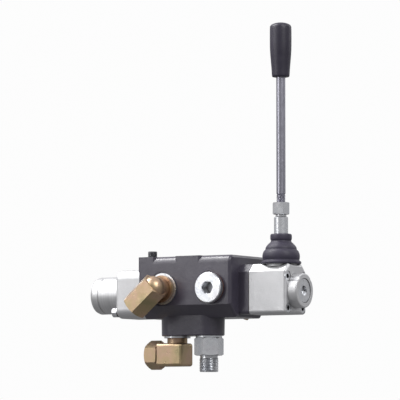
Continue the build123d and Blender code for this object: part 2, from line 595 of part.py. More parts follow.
# rubber boot: a bead round the housing's spigot, a dome and a collar on the lever
BEAD_R = 17.2
BEAD_TOP = 25.2
DOME_R = 15.85
COLLAR_TOP = 48.8
BOOT_COLLAR_R = 8.95
BOOT_OUTSIDE = [(BEAD_R, BEAD_TOP), (DOME_R, 26.0), (DOME_R, 30.5), (15.0, 34.5), (13.0, 38.5), (9.8, 41.8),
                (BOOT_COLLAR_R, 43.0), (BOOT_COLLAR_R, COLLAR_TOP - 0.5), (BOOT_COLLAR_R - 0.5, COLLAR_TOP)]
BOOT_INSIDE = [(STUB_R + 0.1, COLLAR_TOP), (STUB_R + 0.1, 43.2), (8.4, 40.6), (11.5, 37.4), (13.3, 33.8)]
with BuildPart() as boot:
    foot = NECK_TOP + THREAD_GAP
    spigot = SPIGOT_R + THREAD_GAP
    turn_upright(LEVER_X, 0, [(spigot, foot), (BEAD_R, foot), *BOOT_OUTSIDE, *BOOT_INSIDE, (spigot, 30.3)])
save(boot.part, "lever_boot")

# ---- relief valve ----------------------------------------------------------------------------
RELIEF_HOLE_R = 2.0
RELIEF_SEAT_TOP = -2.5
RELIEF_POPPET_R = 3.2
RELIEF_POPPET_TOP = 5.0
RELIEF_STEM_R = 1.9          # the spring sits round this stem
RELIEF_STEM = 3.0
RELIEF_SPRING_GAP = 0.8
RELIEF_COIL_R = 2.9
RELIEF_WIRE_R = 0.6
RELIEF_TURNS = 6
RELIEF_SCREW_Z = 17.0
RELIEF_STUB_TOP = 36.2
RELIEF_STUB_R = 4.1
RELIEF_SOCKET = 4.0
RELIEF_SOCKET_DEPTH = 3.5
RELIEF_FIT_R = RELIEF_BORE_R - THREAD_GAP

with BuildPart() as relief_seat:
    turn_upright(RELIEF_X, PASSAGE_Y, [
        (RELIEF_HOLE_R, RELIEF_SEAT_Z), (RELIEF_FIT_R, RELIEF_SEAT_Z), (RELIEF_FIT_R, RELIEF_SEAT_TOP),
        (RELIEF_HOLE_R + 0.8, RELIEF_SEAT_TOP), (RELIEF_HOLE_R, RELIEF_SEAT_TOP - 0.8),
    ])
save(relief_seat.part, "relief_seat")

with BuildPart() as relief_poppet:
    turn_upright(RELIEF_X, PASSAGE_Y, [
        (0, RELIEF_SEAT_TOP - 2.5), (1.5, RELIEF_SEAT_TOP - 1.1), (RELIEF_POPPET_R, RELIEF_SEAT_TOP + 0.6),
        (RELIEF_POPPET_R, RELIEF_POPPET_TOP - RELIEF_STEM), (RELIEF_STEM_R, RELIEF_POPPET_TOP - RELIEF_STEM),
        (RELIEF_STEM_R, RELIEF_POPPET_TOP), (0, RELIEF_POPPET_TOP),
    ])
save(relief_poppet.part, "relief_poppet")

with BuildPart() as relief_spring:
    spring_foot = RELIEF_POPPET_TOP - RELIEF_STEM + RELIEF_SPRING_GAP
    spring_length = RELIEF_SCREW_Z - RELIEF_SPRING_GAP - spring_foot
    coil(point(RELIEF_X, PASSAGE_Y, spring_foot), (0, 0, 1), spring_length, RELIEF_COIL_R,
         RELIEF_WIRE_R, RELIEF_TURNS)
save(relief_spring.part, "relief_spring")

with BuildPart() as relief_screw:
    turn_upright(RELIEF_X, PASSAGE_Y, [
        (0, RELIEF_SCREW_Z), (RELIEF_FIT_R, RELIEF_SCREW_Z), (RELIEF_FIT_R, BODY_TOP),
        (RELIEF_STUB_R, BODY_TOP),
        (RELIEF_STUB_R, RELIEF_STUB_TOP - 0.6), (RELIEF_STUB_R - 0.6, RELIEF_STUB_TOP), (0, RELIEF_STUB_TOP),
    ])
    hexagons(level(RELIEF_STUB_TOP), [(RELIEF_X, PASSAGE_Y)], RELIEF_SOCKET, -RELIEF_SOCKET_DEPTH,
             Mode.SUBTRACT)
save(relief_screw.part, "relief_adjusting_screw")

# ---- load check valve ------------------------------------------------------------------------
CHECK_POPPET_R = 6.0
CHECK_GUIDE_R = 2.2
CHECK_DISC_TOP = CHECK_SEAT_Z + 4.0
CHECK_GUIDE_TOP = CHECK_SEAT_Z + 6.5
CHECK_COIL_R = 3.6
CHECK_WIRE_R = 0.4
CHECK_TURNS = 3.5
CHECK_PLUG_SUNK = 0.5
CHECK_SOCKET = 8.0
CHECK_SOCKET_DEPTH = 5.0
with BuildPart() as check_poppet:
    turn_upright(CHECK_X, CHECK_Y, [
        (0, CHECK_SEAT_Z - 2.8), (2.6, CHECK_SEAT_Z - 2.0), (CHECK_POPPET_R, CHECK_SEAT_Z + 1.8),
        (CHECK_POPPET_R, CHECK_DISC_TOP), (CHECK_GUIDE_R, CHECK_DISC_TOP),
        (CHECK_GUIDE_R, CHECK_GUIDE_TOP), (0, CHECK_GUIDE_TOP),
    ])
save(check_poppet.part, "check_poppet")

with BuildPart() as check_spring:
    coil(point(CHECK_X, CHECK_Y, CHECK_DISC_TOP + 0.5), (0, 0, 1), CHECK_PLUG_Z - CHECK_DISC_TOP - 1,
         CHECK_COIL_R, CHECK_WIRE_R, CHECK_TURNS)
save(check_spring.part, "check_spring")

with BuildPart() as check_plug:
    plug_top = level(BODY_TOP - CHECK_PLUG_SUNK)
    plug_length = BODY_TOP - CHECK_PLUG_SUNK - CHECK_PLUG_Z
    disc(plug_top, [(CHECK_X, CHECK_Y)], CHECK_PLUG_R - THREAD_GAP, -plug_length)
    hexagons(plug_top, [(CHECK_X, CHECK_Y)], CHECK_SOCKET, -CHECK_SOCKET_DEPTH, Mode.SUBTRACT)
    chamfer(check_plug.faces().sort_by(Axis.Z)[-1].outer_wire().edges(), EDGE_BREAK)
save(check_plug.part, "check_plug")

# ---- front plug ------------------------------------------------------------------------------
PLUG_COLLAR_R = 13.0
PLUG_COLLAR = 4.5
PLUG_CHAMFER = 0.8
PLUG_SOCKET = 10.0
PLUG_SOCKET_DEPTH = 9.0
PLUG_RECESS_R = 5.6          # round lead-in of the socket
PLUG_RECESS = 0.5
ENGAGED = 8.5                # threads of the front and rear fittings end short of the passages
with BuildPart() as plug_seal:
    disc(along(FRONT_SEAT), [(PLUG_PORT_X, SIDE_PORT_Z)], PLUG_COLLAR_R - 0.4, SEAL_THICKNESS)
    bore(along(FRONT_SEAT - SEAL_THICKNESS), [(PLUG_PORT_X, SIDE_PORT_Z)], G_HALF_R, SEAL_THICKNESS)
save(plug_seal.part, "port_plug_seal")

with BuildPart() as port_plug:
    face = along(FRONT_SEAT - SEAL_THICKNESS)
    spot = [(PLUG_PORT_X, SIDE_PORT_Z)]
    disc(face, spot, PLUG_COLLAR_R, PLUG_COLLAR)
    chamfer(port_plug.faces().sort_by(Axis.Y)[0].edges(), PLUG_CHAMFER)
    disc(face, spot, G_HALF_R - THREAD_GAP, -SEAL_THICKNESS - ENGAGED)
    hexagons(face.offset(PLUG_COLLAR), spot, PLUG_SOCKET, -PLUG_SOCKET_DEPTH, Mode.SUBTRACT)
    bore(face.offset(PLUG_COLLAR), spot, PLUG_RECESS_R, PLUG_RECESS)
save(port_plug.part, "port_plug")

# ---- hex-bar elbows of the tank and inlet ports ----------------------------------------------
ELBOW_ACROSS_FLATS = 22.0
ELBOW_REACH = 16.5           # port face to the outlet leg's axis
ELBOW_COLLAR_R = 11.6
ELBOW_COLLAR = 3.0
ELBOW_NECK_R = 8.8
ELBOW_BACK = 4.0
ELBOW_LEG = 25.0
KNUCKLE_R = 10.6
FLOW_R = 5.5
FLOW_OVERRUN = 2.0           # the leg's bore runs on past the stud's axis
ELBOW_ANGLE = radians(40)    # both legs point down and away from the lever, this far below -X


def add_hex_elbow(mouth, outward):
    """Elbow on a port: stud and neck along outward, and a sloping hex leg."""
    port = Plane(origin=mouth, x_dir=(1, 0, 0), z_dir=outward)
    outlet = Vector(-cos(ELBOW_ANGLE), 0, -sin(ELBOW_ANGLE))
    leg = Plane(origin=mouth + Vector(*outward) * ELBOW_REACH, x_dir=outward, z_dir=outlet)
    hex_bar(leg.offset(-ELBOW_BACK), ELBOW_ACROSS_FLATS, ELBOW_BACK + ELBOW_LEG, rotation=30)
    with Locations(leg.location):
        Sphere(KNUCKLE_R)
    disc(port, [(0, 0)], G_HALF_R - THREAD_GAP, -ENGAGED)
    disc(port, [(0, 0)], ELBOW_NECK_R, ELBOW_REACH)
    disc(port.offset(SEAL_THICKNESS), [(0, 0)], ELBOW_COLLAR_R, ELBOW_COLLAR)
    bore(port.offset(ELBOW_REACH), [(0, 0)], FLOW_R, ELBOW_REACH + ENGAGED)
    bore(leg.offset(ELBOW_LEG), [(0, 0)], FLOW_R, ELBOW_LEG + FLOW_OVERRUN)
    bore(leg.offset(ELBOW_LEG), [(0, 0)], G_THREE_EIGHTHS_R, THREAD_DEPTH)


elbows = {
    "tank_elbow": (point(TANK_PORT_X, FRONT_SEAT, SIDE_PORT_Z), (0, -1, 0)),
    "inlet_elbow": (point(INLET_PORT_X, REAR_SEAT, SIDE_PORT_Z), (0, 1, 0)),
}
for name, (mouth, outward) in elbows.items():
    with BuildPart() as elbow:
        add_hex_elbow(mouth, outward)
    save(elbow.part, name)
    with BuildPart() as elbow_seal:
        seal_plane = Plane(origin=mouth, x_dir=(1, 0, 0), z_dir=outward)
        disc(seal_plane, [(0, 0)], WASHER_R, SEAL_THICKNESS)
        bore(seal_plane.offset(SEAL_THICKNESS), [(0, 0)], G_HALF_R, SEAL_THICKNESS)
    save(elbow_seal.part, name + "_seal")

# ---- bottom fittings: block elbow on work port A, hex nipple on work port B ------------------
BLOCK = 20.0
BLOCK_RIGHT = WORK_PORT_A_X + 10.0
BLOCK_LENGTH = 25.0
BLOCK_TOP = -43.0
BLOCK_AXIS_Z = BLOCK_TOP - BLOCK / 2
BLOCK_NECK_R = 8.7
BLOCK_ROUND = 2.5
BLOCK_END_ROUND = 2.0
BLOCK_FLOW_R = 4.0
SMALL_FLOW_R = 5.0
SMALL_STUD = 13.0            # length of the two bottom studs, seal included
OUTLET_R = 6.4
OUTLET_LENGTH = 5.0
NUT_LENGTH = 12.0
NUT_GAP = 0.5
SMALL_SEAL_R = 11.4
SEAL_FACE = BOSS_BOTTOM - SEAL_THICKNESS
NIPPLE_TURN = 8.0

with BuildPart() as work_elbow:
    with BuildSketch(across(BLOCK_RIGHT)):
        with Locations((WORK_PORT_Y, BLOCK_AXIS_Z)):
            RectangleRounded(BLOCK, BLOCK, BLOCK_ROUND)
    extrude(amount=-BLOCK_LENGTH)
    fillet(work_elbow.faces().sort_by(Axis.X)[-1].edges(), BLOCK_END_ROUND)
    disc(level(SEAL_FACE), [work_ports[0]], G_THREE_EIGHTHS_R - THREAD_GAP, SMALL_STUD)
    disc(level(BLOCK_TOP - 2), [work_ports[0]], BLOCK_NECK_R, SEAL_FACE - BLOCK_TOP + 2)
    block_axis = [(WORK_PORT_Y, BLOCK_AXIS_Z)]
    disc(across(BLOCK_RIGHT - BLOCK_LENGTH), block_axis, OUTLET_R, -OUTLET_LENGTH)
    bore(across(WORK_PORT_A_X), block_axis, BLOCK_FLOW_R, BLOCK_LENGTH + OUTLET_LENGTH)
    bore(level(SEAL_FACE + SMALL_STUD), [work_ports[0]], SMALL_FLOW_R, SEAL_FACE + SMALL_STUD - BLOCK_AXIS_Z)
save(work_elbow.part, "work_port_elbow")

with BuildPart() as work_elbow_nut:
    nut_face = BLOCK_RIGHT - BLOCK_LENGTH - NUT_GAP
    outward = Plane(origin=point(nut_face, WORK_PORT_Y, BLOCK_AXIS_Z), x_dir=(0, -1, 0), z_dir=(-1, 0, 0))
    hex_bar(outward, ELBOW_ACROSS_FLATS, NUT_LENGTH, rotation=30)
    bore(across(nut_face), block_axis, OUTLET_R + 0.1, OUTLET_LENGTH)
    bore(across(nut_face - OUTLET_LENGTH), block_axis, G_THREE_EIGHTHS_R, NUT_LENGTH - OUTLET_LENGTH)
save(work_elbow_nut.part, "work_port_elbow_nut")

with BuildPart() as nipple:
    shoulder = BOSS_BOTTOM - NIPPLE_LENGTH
    nipple_base = Plane(origin=point(*work_ports[1], shoulder))
    hex_bar(nipple_base, ELBOW_ACROSS_FLATS, SEAL_FACE - shoulder, rotation=NIPPLE_TURN)
    disc(level(shoulder), [work_ports[1]], G_THREE_EIGHTHS_R, -THREAD_DEPTH)
    chamfer(nipple.faces().sort_by(Axis.Z)[0].edges(), END_CHAMFER)
    disc(level(SEAL_FACE), [work_ports[1]], G_THREE_EIGHTHS_R - THREAD_GAP, SMALL_STUD)
    nipple_length = NIPPLE_LENGTH + THREAD_DEPTH + SMALL_STUD
    bore(level(BOSS_BOTTOM + SMALL_STUD), [work_ports[1]], SMALL_FLOW_R, nipple_length)
save(nipple.part, "cylinder_nipple")

with BuildPart() as small_seals:
    disc(level(BOSS_BOTTOM), work_ports, SMALL_SEAL_R, -SEAL_THICKNESS)
    bore(level(BOSS_BOTTOM), work_ports, G_THREE_EIGHTHS_R, SEAL_THICKNESS)
save(small_seals.part, "work_port_seals")
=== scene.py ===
import json
import math

import bmesh
import bpy
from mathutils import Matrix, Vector


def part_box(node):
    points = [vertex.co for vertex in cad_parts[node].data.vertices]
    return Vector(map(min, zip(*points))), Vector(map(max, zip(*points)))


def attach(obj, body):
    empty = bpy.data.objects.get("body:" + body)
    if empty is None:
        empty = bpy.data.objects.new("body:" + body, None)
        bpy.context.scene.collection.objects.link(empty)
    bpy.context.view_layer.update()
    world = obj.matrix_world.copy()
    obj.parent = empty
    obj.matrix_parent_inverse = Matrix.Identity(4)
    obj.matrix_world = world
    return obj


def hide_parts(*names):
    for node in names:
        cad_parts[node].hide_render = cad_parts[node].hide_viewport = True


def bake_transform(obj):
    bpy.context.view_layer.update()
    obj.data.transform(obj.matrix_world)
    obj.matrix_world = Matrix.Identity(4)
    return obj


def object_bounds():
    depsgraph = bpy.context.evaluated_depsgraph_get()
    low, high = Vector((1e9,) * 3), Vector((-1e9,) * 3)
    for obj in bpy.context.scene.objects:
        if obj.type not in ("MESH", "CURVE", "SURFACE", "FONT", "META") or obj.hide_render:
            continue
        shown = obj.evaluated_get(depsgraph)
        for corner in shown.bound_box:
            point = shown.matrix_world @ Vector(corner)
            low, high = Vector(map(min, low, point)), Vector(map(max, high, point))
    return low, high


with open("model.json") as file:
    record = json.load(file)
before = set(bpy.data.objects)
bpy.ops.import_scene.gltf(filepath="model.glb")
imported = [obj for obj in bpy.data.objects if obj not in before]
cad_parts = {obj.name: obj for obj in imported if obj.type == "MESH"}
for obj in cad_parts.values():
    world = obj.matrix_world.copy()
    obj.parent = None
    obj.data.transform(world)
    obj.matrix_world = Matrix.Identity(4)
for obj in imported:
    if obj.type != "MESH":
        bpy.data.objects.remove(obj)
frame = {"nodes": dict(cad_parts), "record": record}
cad_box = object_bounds()

MM = 0.001
X, Y, Z = Vector((1, 0, 0)), Vector((0, 1, 0)), Vector((0, 0, 1))


# ---- camera, light and floor: metres and degrees -------------------------------------------
VIEW_AZIMUTH = 31.8          # the -Y face and the +X end are seen
VIEW_ELEVATION = -4.4        # the lens is a little lower than the valve
VIEW_DISTANCE = 2.604
FILL_OF_FRAME = 0.86         # the valve's height as a share of the picture's
FAR_CLIP = 30
FLOOR_DROP = 0.12            # the valve is held by its nipple, clear of the floor
FLOOR_HALF = 4.0

# name, azimuth, elevation, distance, (width, height), watts
SOFTBOXES = [
    ("key", -34, 40, 1.5, (0.9, 1.0), 10),     # front and top
    ("card", -32, 9, 1.8, (0.6, 0.5), 3.5),    # mirrored by the flat front faces
    ("fill", 66, 36, 1.6, (0.7, 0.9), 12),     # the +X end
    ("strip", -72, 50, 1.3, (0.4, 1.0), 17),   # mirrored by the rounded top front edge
    ("rim", 150, 30, 1.6, (0.8, 1.0), 4),      # from behind
]

# brightness of the studio dome by height, from straight down (0) to straight up (1)
DOME = [(0.0, 0.22), (0.42, 0.29), (0.53, 0.42), (0.75, 0.50), (1.0, 0.80)]
DOME_BLUE = 1.02             # the dome's blue against its red and green
BACKDROP = 0.98              # what the camera sees behind the valve

MIX_FACTOR, MIX_A, MIX_B, MIX_RESULT = 0, 6, 7, 2      # a colour mix node's sockets


def box_centre(lo, hi):
    return (Vector(lo) + Vector(hi)) / 2


def direction(azimuth, elevation):
    """Unit vector from the object to a viewer at that azimuth and elevation."""
    a, e = math.radians(azimuth), math.radians(elevation)
    return Vector((math.sin(a) * math.cos(e), -math.cos(a) * math.cos(e), math.sin(e)))


def aim(obj, target):
    obj.rotation_euler = (Vector(target) - obj.location).to_track_quat("-Z", "Y").to_euler()


def add_camera(lo, hi):
    target = box_centre(lo, hi)
    data = bpy.data.cameras.new("camera")
    camera = bpy.data.objects.new("camera", data)
    camera.location = target + direction(VIEW_AZIMUTH, VIEW_ELEVATION) * VIEW_DISTANCE
    data.angle = 2 * math.atan((hi[2] - lo[2]) / 2 / VIEW_DISTANCE / FILL_OF_FRAME)
    data.clip_end = FAR_CLIP
    bpy.context.scene.collection.objects.link(camera)
    aim(camera, target)
    bpy.context.scene.camera = camera


def add_softbox(target, name, azimuth, elevation, distance, size, watts):
    data = bpy.data.lights.new(name, "AREA")
    data.shape = "RECTANGLE"
    data.size, data.size_y = size
    data.energy = watts
    lamp = bpy.data.objects.new(name, data)
    lamp.location = target + direction(azimuth, elevation) * distance
    bpy.context.scene.collection.objects.link(lamp)
    aim(lamp, target)


def add_floor(height):
    mesh = bpy.data.meshes.new("floor")
    corners = [
        (x * FLOOR_HALF, y * FLOOR_HALF, height) for x, y in ((-1, -1), (1, -1), (1, 1), (-1, 1))
    ]
    mesh.from_pydata(corners, [], [(0, 1, 2, 3)])
    floor = bpy.data.objects.new("floor", mesh)
    bpy.context.scene.collection.objects.link(floor)
    floor.data.materials.append(pale_floor())
    floor.visible_diffuse = floor.visible_glossy = False     # or it would light the undersides


def fill_ramp(color_ramp, stops):
    """Give a colour ramp its stops, each a place and a colour."""
    while len(color_ramp.elements) < len(stops):
        color_ramp.elements.new(0.5)
    for element, (place, colour) in zip(color_ramp.elements, stops):
        element.position = place
        element.color = (*colour, 1)


def add_world():
    """A pale backdrop for the camera, and a soft studio dome for the reflections: dim low down,
    brighter towards the top."""
    world = bpy.data.worlds.new("studio")
    bpy.context.scene.world = world
    world.use_nodes = True
    nodes, links = world.node_tree.nodes, world.node_tree.links
    background = nodes["Background"]
    split = nodes.new("ShaderNodeSeparateXYZ")
    links.new(nodes.new("ShaderNodeTexCoord").outputs["Generated"], split.inputs["Vector"])
    dome = nodes.new("ShaderNodeValToRGB")
    fill_ramp(dome.color_ramp, [(place, (tone, tone, tone * DOME_BLUE)) for place, tone in DOME])
    height = nodes.new("ShaderNodeMapRange")
    height.inputs["From Min"].default_value = -1
    links.new(split.outputs["Z"], height.inputs["Value"])
    links.new(height.outputs["Result"], dome.inputs["Fac"])
    seen = nodes.new("ShaderNodeLightPath").outputs["Is Camera Ray"]
    mix = nodes.new("ShaderNodeMix")
    mix.data_type = "RGBA"
    links.new(seen, mix.inputs[MIX_FACTOR])
    links.new(dome.outputs["Color"], mix.inputs[MIX_A])
    mix.inputs[MIX_B].default_value = (BACKDROP, BACKDROP, BACKDROP, 1)
    links.new(mix.outputs[MIX_RESULT], background.inputs["Color"])


# ---- materials: noise scales are in cells per metre, so 1000 is a grain of 1 mm ------------
NOISE_LOW, NOISE_HIGH = 0.3, 0.7           # nearly all of a noise's values lie between these
# painted shade: the dark and the brown colours laid into sockets, corners and sheltered places
DARK_PAINTED_SHADE = (0.030, 0.026, 0.024)
BROWN_PAINTED_SHADE = (0.13, 0.055, 0.032)
RECESS_SAMPLES = 16
EDGE_SAMPLES = 6
EDGE_TURN = (0.80, 0.985)                  # cosine of the bevel's turn: on a sharp edge, on a flat


class Shader:
    """A principled material and short names for the nodes that feed it."""

    def __init__(self, name, **sockets):
        self.material = bpy.data.materials.new(name)
        self.material.use_nodes = True
        self.tree = self.material.node_tree
        self.principled = self.tree.nodes["Principled BSDF"]
        self.coords = self.node("ShaderNodeTexCoord").outputs["Object"]
        for socket, value in sockets.items():
            self.principled.inputs[socket.replace("_", " ")].default_value = value

    def node(self, kind, **settings):
        made = self.tree.nodes.new(kind)
        for key, value in settings.items():
            setattr(made, key, value)
        return made

    def link(self, source, target):
        self.tree.links.new(source, target)

    def noise(self, scale, detail=4.0, roughness=0.55, stretch=None):
        made = self.node("ShaderNodeTexNoise")
        made.inputs["Scale"].default_value = scale
        made.inputs["Detail"].default_value = detail
        made.inputs["Roughness"].default_value = roughness
        self.link(self.stretched(stretch) if stretch else self.coords, made.inputs["Vector"])
        return made.outputs["Fac"]

    def stretched(self, factors):
        made = self.node("ShaderNodeMapping")
        made.inputs["Scale"].default_value = factors
        self.link(self.coords, made.inputs["Vector"])
        return made.outputs["Vector"]

    def ramp(self, source, stops):
        """Colour ramp: stops are (place, colour)."""
        made = self.node("ShaderNodeValToRGB")
        fill_ramp(made.color_ramp, stops)
        self.link(source, made.inputs["Fac"])
        return made.outputs["Color"]

    def between(self, source, first, second):
        """A noise as a tone that wanders between two colours."""
        return self.ramp(source, [(NOISE_LOW, first), (NOISE_HIGH, second)])

    def span(self, source, low, high, from_low=NOISE_LOW, from_high=NOISE_HIGH):
        """Map a range of a value, a noise's middle unless told otherwise, to low..high."""
        made = self.node("ShaderNodeMapRange")
        ends = {"From Min": from_low, "From Max": from_high, "To Min": low, "To Max": high}
        for socket, value in ends.items():
            made.inputs[socket].default_value = value
        self.link(source, made.inputs["Value"])
        return made.outputs["Result"]

    def mix(self, factor, a, b):
        made = self.node("ShaderNodeMix", data_type="RGBA")
        for index, value in ((MIX_FACTOR, factor), (MIX_A, a), (MIX_B, b)):
            if isinstance(value, tuple):
                made.inputs[index].default_value = (*value, 1)
            else:
                self.link(value, made.inputs[index])
        return made.outputs[MIX_RESULT]

    def set(self, socket, source):
        self.link(source, self.principled.inputs[socket])

    def bump(self, source, strength, distance):
        """Add a bump, its distance in metres, on top of any the material already has."""
        made = self.node("ShaderNodeBump")
        made.inputs["Strength"].default_value = strength
        made.inputs["Distance"].default_value = distance
        self.link(source, made.inputs["Height"])
        earlier = self.principled.inputs["Normal"].links
        if earlier:
            self.link(earlier[0].from_socket, made.inputs["Normal"])
        self.link(made.outputs["Normal"], self.principled.inputs["Normal"])

    def painted_shade_mask(self, reach, low=0.25, high=0.72):
        """1 deep in sockets and corners, 0 on open surfaces, a mask for painted shade: reach is in
        metres.
        """
        made = self.node("ShaderNodeAmbientOcclusion", samples=RECESS_SAMPLES)
        made.inputs["Distance"].default_value = reach
        return self.span(made.outputs["AO"], 1, 0, low, high)

    def edge(self, radius):
        """1 on sharp edges, 0 on flats: how far a rounded normal turns from the true one."""
        rounded = self.node("ShaderNodeBevel", samples=EDGE_SAMPLES)
        rounded.inputs["Radius"].default_value = radius
        flat = self.node("ShaderNodeNewGeometry")
        turn = self.node("ShaderNodeVectorMath", operation="DOT_PRODUCT")
        self.link(rounded.outputs["Normal"], turn.inputs[0])
        self.link(flat.outputs["Normal"], turn.inputs[1])
        return self.span(turn.outputs["Value"], 1, 0, *EDGE_TURN)

    def product(self, a, b):
        made = self.node("ShaderNodeMath", operation="MULTIPLY")
        self.link(a, made.inputs[0])
        self.link(b, made.inputs[1])
        return made.outputs["Value"]

    def with_painted_shade(self, tone, reach, scale, least, most):
        """A tone with painted shade down in its sockets and corners, in patches of least to most.
        """
        patches = self.span(self.noise(scale, 3), least, most)
        return self.mix(self.product(self.painted_shade_mask(reach), patches), tone, DARK_PAINTED_SHADE)


def pale_floor():
    """Pale paper, lit a little by itself so that it stays pale away from the lamps."""
    glow = {"Emission_Color": (1, 1, 1, 1), "Emission_Strength": 0.45}
    s = Shader("pale_floor", Roughness=0.7, **glow)
    paper = [(0.0, (0.60, 0.60, 0.60)), (1.0, (0.62, 0.62, 0.62))]
    s.set("Base Color", s.ramp(s.noise(3.0), paper))
    return s.material


def black_enamel():
    """Sprayed black enamel over a sand casting, a little thinner on the edges."""
    s = Shader("black_enamel", Metallic=0.0, Coat_Weight=0.38, Coat_Roughness=0.18)
    tone = s.between(s.noise(45, 3), (0.038, 0.033, 0.050), (0.053, 0.047, 0.067))
    speckle = s.span(s.noise(900, 3, 0.6), 0, 1, 0.52, 0.70)
    thin = s.product(s.edge(0.0006), speckle)
    s.set("Base Color", s.mix(thin, tone, (0.15, 0.145, 0.15)))
    s.set("Roughness", s.span(s.noise(160, 4), 0.28, 0.46))
    s.bump(s.noise(420, 5, 0.6), 0.35, 0.0004)
    s.bump(s.noise(60, 2), 0.15, 0.0010)
    return s.material


def cast_aluminium():
    """Die-cast and shot-blasted: even grey, a fine grain, and painted shade in the corners."""
    s = Shader("cast_aluminium", Metallic=0.8)
    flow = s.between(s.noise(38, 5, 0.6), (0.60, 0.60, 0.61), (0.66, 0.66, 0.67))
    grain = s.mix(s.span(s.noise(2200, 2), 0, 0.35), flow, (0.50, 0.50, 0.51))
    # painted shade down in the corners and sockets
    s.set("Base Color", s.with_painted_shade(grain, 0.004, 300, 0.5, 0.8))
    s.set("Roughness", s.span(s.noise(300, 4), 0.40, 0.56))
    s.bump(s.noise(1500, 3, 0.6), 0.30, 0.00025)
    return s.material


def turned_aluminium():
    """Turned surface: fine grooves round the X axis."""
    s = Shader("turned_aluminium", Metallic=0.85)
    bands = s.noise(1.0, 4, stretch=(900, 12, 12))
    tone = s.between(bands, (0.56, 0.56, 0.57), (0.68, 0.68, 0.69))
    # painted shade down in the corners and sockets
    s.set("Base Color", s.with_painted_shade(tone, 0.003, 300, 0.4, 0.7))
    s.set("Roughness", s.span(s.noise(240, 3), 0.38, 0.52))
    s.bump(s.noise(1.0, 2, stretch=(2600, 40, 40)), 0.25, 0.0002)
    return s.material


def bright_zinc():
    """Bright zinc plate: a faint blue bloom, and painted shade down in the sockets."""
    s = Shader("bright_zinc", Metallic=0.9)
    bloom = s.ramp(s.noise(90, 3), [
        (0.30, (0.60, 0.62, 0.66)), (0.55, (0.72, 0.73, 0.75)), (0.70, (0.66, 0.65, 0.68)),
    ])
    # painted shade down in the sockets
    s.set("Base Color", s.with_painted_shade(bloom, 0.005, 400, 0.75, 0.95))
    s.set("Roughness", s.span(s.noise(260, 4), 0.22, 0.40))
    s.bump(s.noise(900, 3), 0.15, 0.0002)
    return s.material


def drawn_steel():
    """Drawn bar: streaks along Z."""
    s = Shader("drawn_steel", Metallic=0.9)
    streaks = s.noise(1, 3, stretch=(900, 900, 18))
    s.set("Base Color", s.between(streaks, (0.27, 0.265, 0.31), (0.40, 0.395, 0.45)))
    s.set("Roughness", s.span(s.noise(200, 3), 0.26, 0.40))
    s.bump(s.noise(1, 3, stretch=(2500, 2500, 40)), 0.2, 0.0002)
    return s.material


def ground_steel():
    """Ground or polished steel, clean and oiled inside the valve."""
    s = Shader("ground_steel", Metallic=0.95)
    s.set("Base Color", s.between(s.noise(80, 3), (0.50, 0.51, 0.53), (0.62, 0.62, 0.64)))
    s.set("Roughness", s.span(s.noise(500, 3), 0.18, 0.3))
    return s.material


def black_steel():
    """Blackened steel, rubbed grey on its edges."""
    s = Shader("black_steel", Metallic=0.6)
    tone = s.between(s.noise(120, 4), (0.045, 0.045, 0.052), (0.095, 0.095, 0.105))
    rubbed = s.product(s.edge(0.0004), s.span(s.noise(700, 3), 0.2, 1))
    s.set("Base Color", s.mix(rubbed, tone, (0.30, 0.30, 0.31)))
    s.set("Roughness", s.span(s.noise(300, 4), 0.35, 0.5))
    s.bump(s.noise(900, 3), 0.2, 0.0002)
    return s.material


def yellow_zinc():
    """Yellow passivate: gold with a faint green and pink bloom, and brown painted shade where it
    is sheltered.
    """
    s = Shader("yellow_zinc", Metallic=0.88)
    bloom = s.ramp(s.noise(55, 3), [
        (0.32, (0.36, 0.30, 0.17)), (0.46, (0.46, 0.345, 0.21)),
        (0.58, (0.49, 0.34, 0.24)), (0.72, (0.40, 0.32, 0.19)),
    ])
    # painted shade: brown laid where the surface is sheltered
    sheltered_shade = s.product(s.painted_shade_mask(0.009, 0.35, 0.85), s.span(s.noise(300, 4), 0.6, 0.95))
    s.set("Base Color", s.mix(sheltered_shade, bloom, BROWN_PAINTED_SHADE))
    s.set("Roughness", s.span(s.noise(260, 4), 0.26, 0.44))
    s.bump(s.noise(700, 4), 0.2, 0.0002)
    return s.material


def black_rubber():
    """Moulded rubber, half matt."""
    s = Shader("black_rubber", Specular_IOR_Level=0.45)
    s.set("Base Color", s.between(s.noise(80, 4), (0.026, 0.022, 0.040), (0.044, 0.038, 0.062)))
    s.set("Roughness", s.span(s.noise(150, 4), 0.42, 0.62))
    s.bump(s.noise(1400, 3), 0.2, 0.0002)
    return s.material


def grip_plastic():
    """Moulded black plastic, with the fine grain of its mould."""
    s = Shader("grip_plastic", Specular_IOR_Level=0.5)
    s.set("Base Color", s.between(s.noise(60, 3), (0.016, 0.013, 0.026), (0.028, 0.024, 0.041)))
    s.set("Roughness", s.span(s.noise(180, 4), 0.36, 0.52))
    s.bump(s.noise(1200, 4), 0.25, 0.0002)
    return s.material


def gasket_fibre():
    """Pressed fibre sheet, seen on its cut edge."""
    s = Shader("gasket_fibre")
    s.set("Base Color", s.between(s.noise(500, 4), (0.10, 0.09, 0.08), (0.17, 0.16, 0.14)))
    s.set("Roughness", s.span(s.noise(600, 4), 0.7, 0.9))
    return s.material


def copper_ring():
    """Soft copper, tarnished unevenly."""
    s = Shader("copper_ring", Metallic=0.95)
    s.set("Base Color", s.between(s.noise(120, 3), (0.50, 0.24, 0.15), (0.70, 0.38, 0.26)))
    s.set("Roughness", s.span(s.noise(400, 3), 0.25, 0.45))
    return s.material


